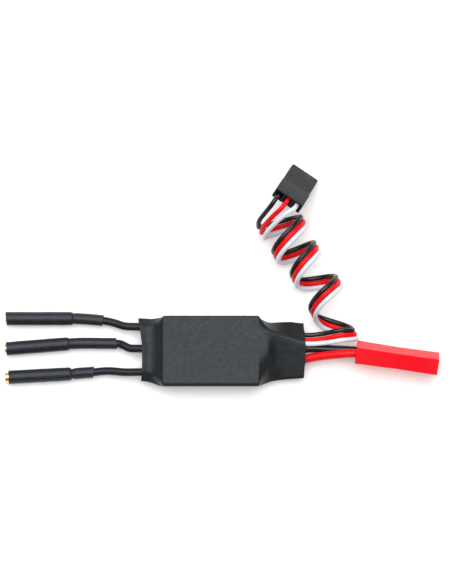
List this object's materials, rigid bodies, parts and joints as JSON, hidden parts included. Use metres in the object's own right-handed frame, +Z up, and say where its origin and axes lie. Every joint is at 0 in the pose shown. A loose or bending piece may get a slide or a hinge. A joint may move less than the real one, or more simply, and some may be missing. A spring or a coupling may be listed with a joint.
{
  "type": "electronic speed controller",
  "caption": "Small heat-shrunk brushless motor speed controller with bullet-socket motor leads, a red battery plug and a coiled servo lead.",
  "frame": {"origin": "centre of the flat underside of the heat-shrunk body", "axes": "+X from the motor leads towards the battery leads, +Y across the body towards the side the servo lead lies on, +Z up out of the flat top face"},
  "size_m": [0.1082, 0.056, 0.0143],
  "materials": {
    "shrink_black": "matte heat-shrink film",
    "silicone_black": "soft satin silicone",
    "sleeve_black": "satin shrink tubing",
    "wire_black": "satin wire insulation",
    "wire_red": "satin wire insulation",
    "wire_white": "satin wire insulation",
    "plug_red": "moulded satin gloss",
    "plug_black": "moulded satin",
    "gold_plate": "gold flash over brass",
    "tin_plate": "tinned, satin",
    "aluminium": "satin",
    "board_green": "solder mask",
    "chip_black": "moulded epoxy",
    "ceramic_tan": "fired ceramic",
    "thermal_pad_grey": "soft pad"
  },
  "bodies": {
    "root": {"heat_shrink_sleeve": "shrink_black", "circuit_board": "board_green", "mosfet_1": "chip_black", "mosfet_2": "chip_black", "mosfet_3": "chip_black", "mosfet_4": "chip_black", "mosfet_5": "chip_black", "mosfet_6": "chip_black", "thermal_pad": "thermal_pad_grey", "heat_spreader_plate": "aluminium", "microcontroller": "chip_black", "voltage_regulator_1": "chip_black", "voltage_regulator_2": "chip_black", "sense_resistor": "chip_black", "ceramic_capacitor_1": "ceramic_tan", "ceramic_capacitor_2": "ceramic_tan", "ceramic_capacitor_3": "ceramic_tan", "ceramic_capacitor_4": "ceramic_tan", "input_capacitor": "aluminium", "input_capacitor_leg_1": "tin_plate", "input_capacitor_leg_2": "tin_plate", "motor_lead_1": "silicone_black", "bullet_socket_1": "gold_plate", "bullet_sleeve_1": "sleeve_black", "motor_lead_2": "silicone_black", "bullet_socket_2": "gold_plate", "bullet_sleeve_2": "sleeve_black", "motor_lead_3": "silicone_black", "bullet_socket_3": "gold_plate", "bullet_sleeve_3": "sleeve_black", "battery_lead_black": "wire_black", "battery_lead_red": "wire_red", "power_plug_housing": "plug_red", "power_plug_pin_1": "tin_plate", "power_plug_pin_2": "tin_plate", "servo_wire_black_near": "wire_black", "servo_wire_red_near": "wire_red", "servo_wire_white_near": "wire_white", "servo_coil": "wire_black", "servo_wire_black_far": "wire_black", "servo_wire_red_far": "wire_red", "servo_wire_white_far": "wire_white", "servo_plug_housing": "plug_black", "servo_contact_1": "tin_plate", "servo_contact_2": "tin_plate", "servo_contact_3": "tin_plate"}
  },
  "joints": []
}
